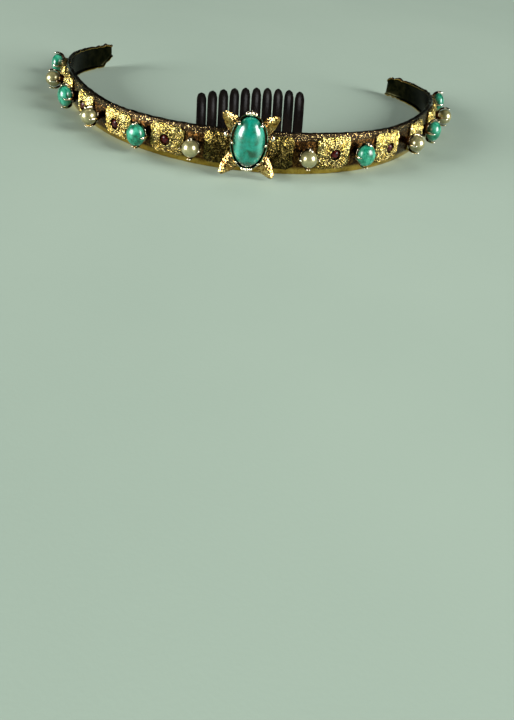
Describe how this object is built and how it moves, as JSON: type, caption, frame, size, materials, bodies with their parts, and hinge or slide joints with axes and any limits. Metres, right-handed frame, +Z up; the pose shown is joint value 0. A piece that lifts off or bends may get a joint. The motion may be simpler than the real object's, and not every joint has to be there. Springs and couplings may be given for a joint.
{
  "type": "tiara",
  "caption": "Horseshoe bandeau tiara: convex textured metal band with claw-set pearls and turquoises, red stones, a star round an oval cabochon and a hair comb",
  "frame": {"origin": "centre of the bounding box, at the level of the band's lower rim, on which the tiara rests", "axes": "+X to the right seen from the front, +Y to the back where the band is open, +Z up"},
  "size_m": [0.1464, 0.1054, 0.0207],
  "materials": {
    "gold": "gold-tone stamped metal, textured panels and smooth rims",
    "centre_gold": "gold-tone cast metal, bark texture",
    "turquoise": "polished veined turquoise",
    "pearl": "cream pearl lustre",
    "red_glass": "faceted dark red glass",
    "comb_plastic": "glossy near-black plastic"
  },
  "bodies": {
    "root": {"band": "gold", "centre_setting": "centre_gold", "centre_cabochon": "turquoise", "comb": "comb_plastic", "pearl_left_1": "pearl", "turquoise_left_1": "turquoise", "pearl_left_2": "pearl", "turquoise_left_2": "turquoise", "pearl_left_3": "pearl", "turquoise_left_3": "turquoise", "garnet_left_1": "red_glass", "garnet_left_2": "red_glass", "garnet_left_3": "red_glass", "garnet_left_4": "red_glass", "garnet_left_5": "red_glass", "garnet_left_6": "red_glass", "pearl_right_1": "pearl", "turquoise_right_1": "turquoise", "pearl_right_2": "pearl", "turquoise_right_2": "turquoise", "pearl_right_3": "pearl", "turquoise_right_3": "turquoise", "garnet_right_1": "red_glass", "garnet_right_2": "red_glass", "garnet_right_3": "red_glass", "garnet_right_4": "red_glass", "garnet_right_5": "red_glass", "garnet_right_6": "red_glass"}
  },
  "joints": []
}
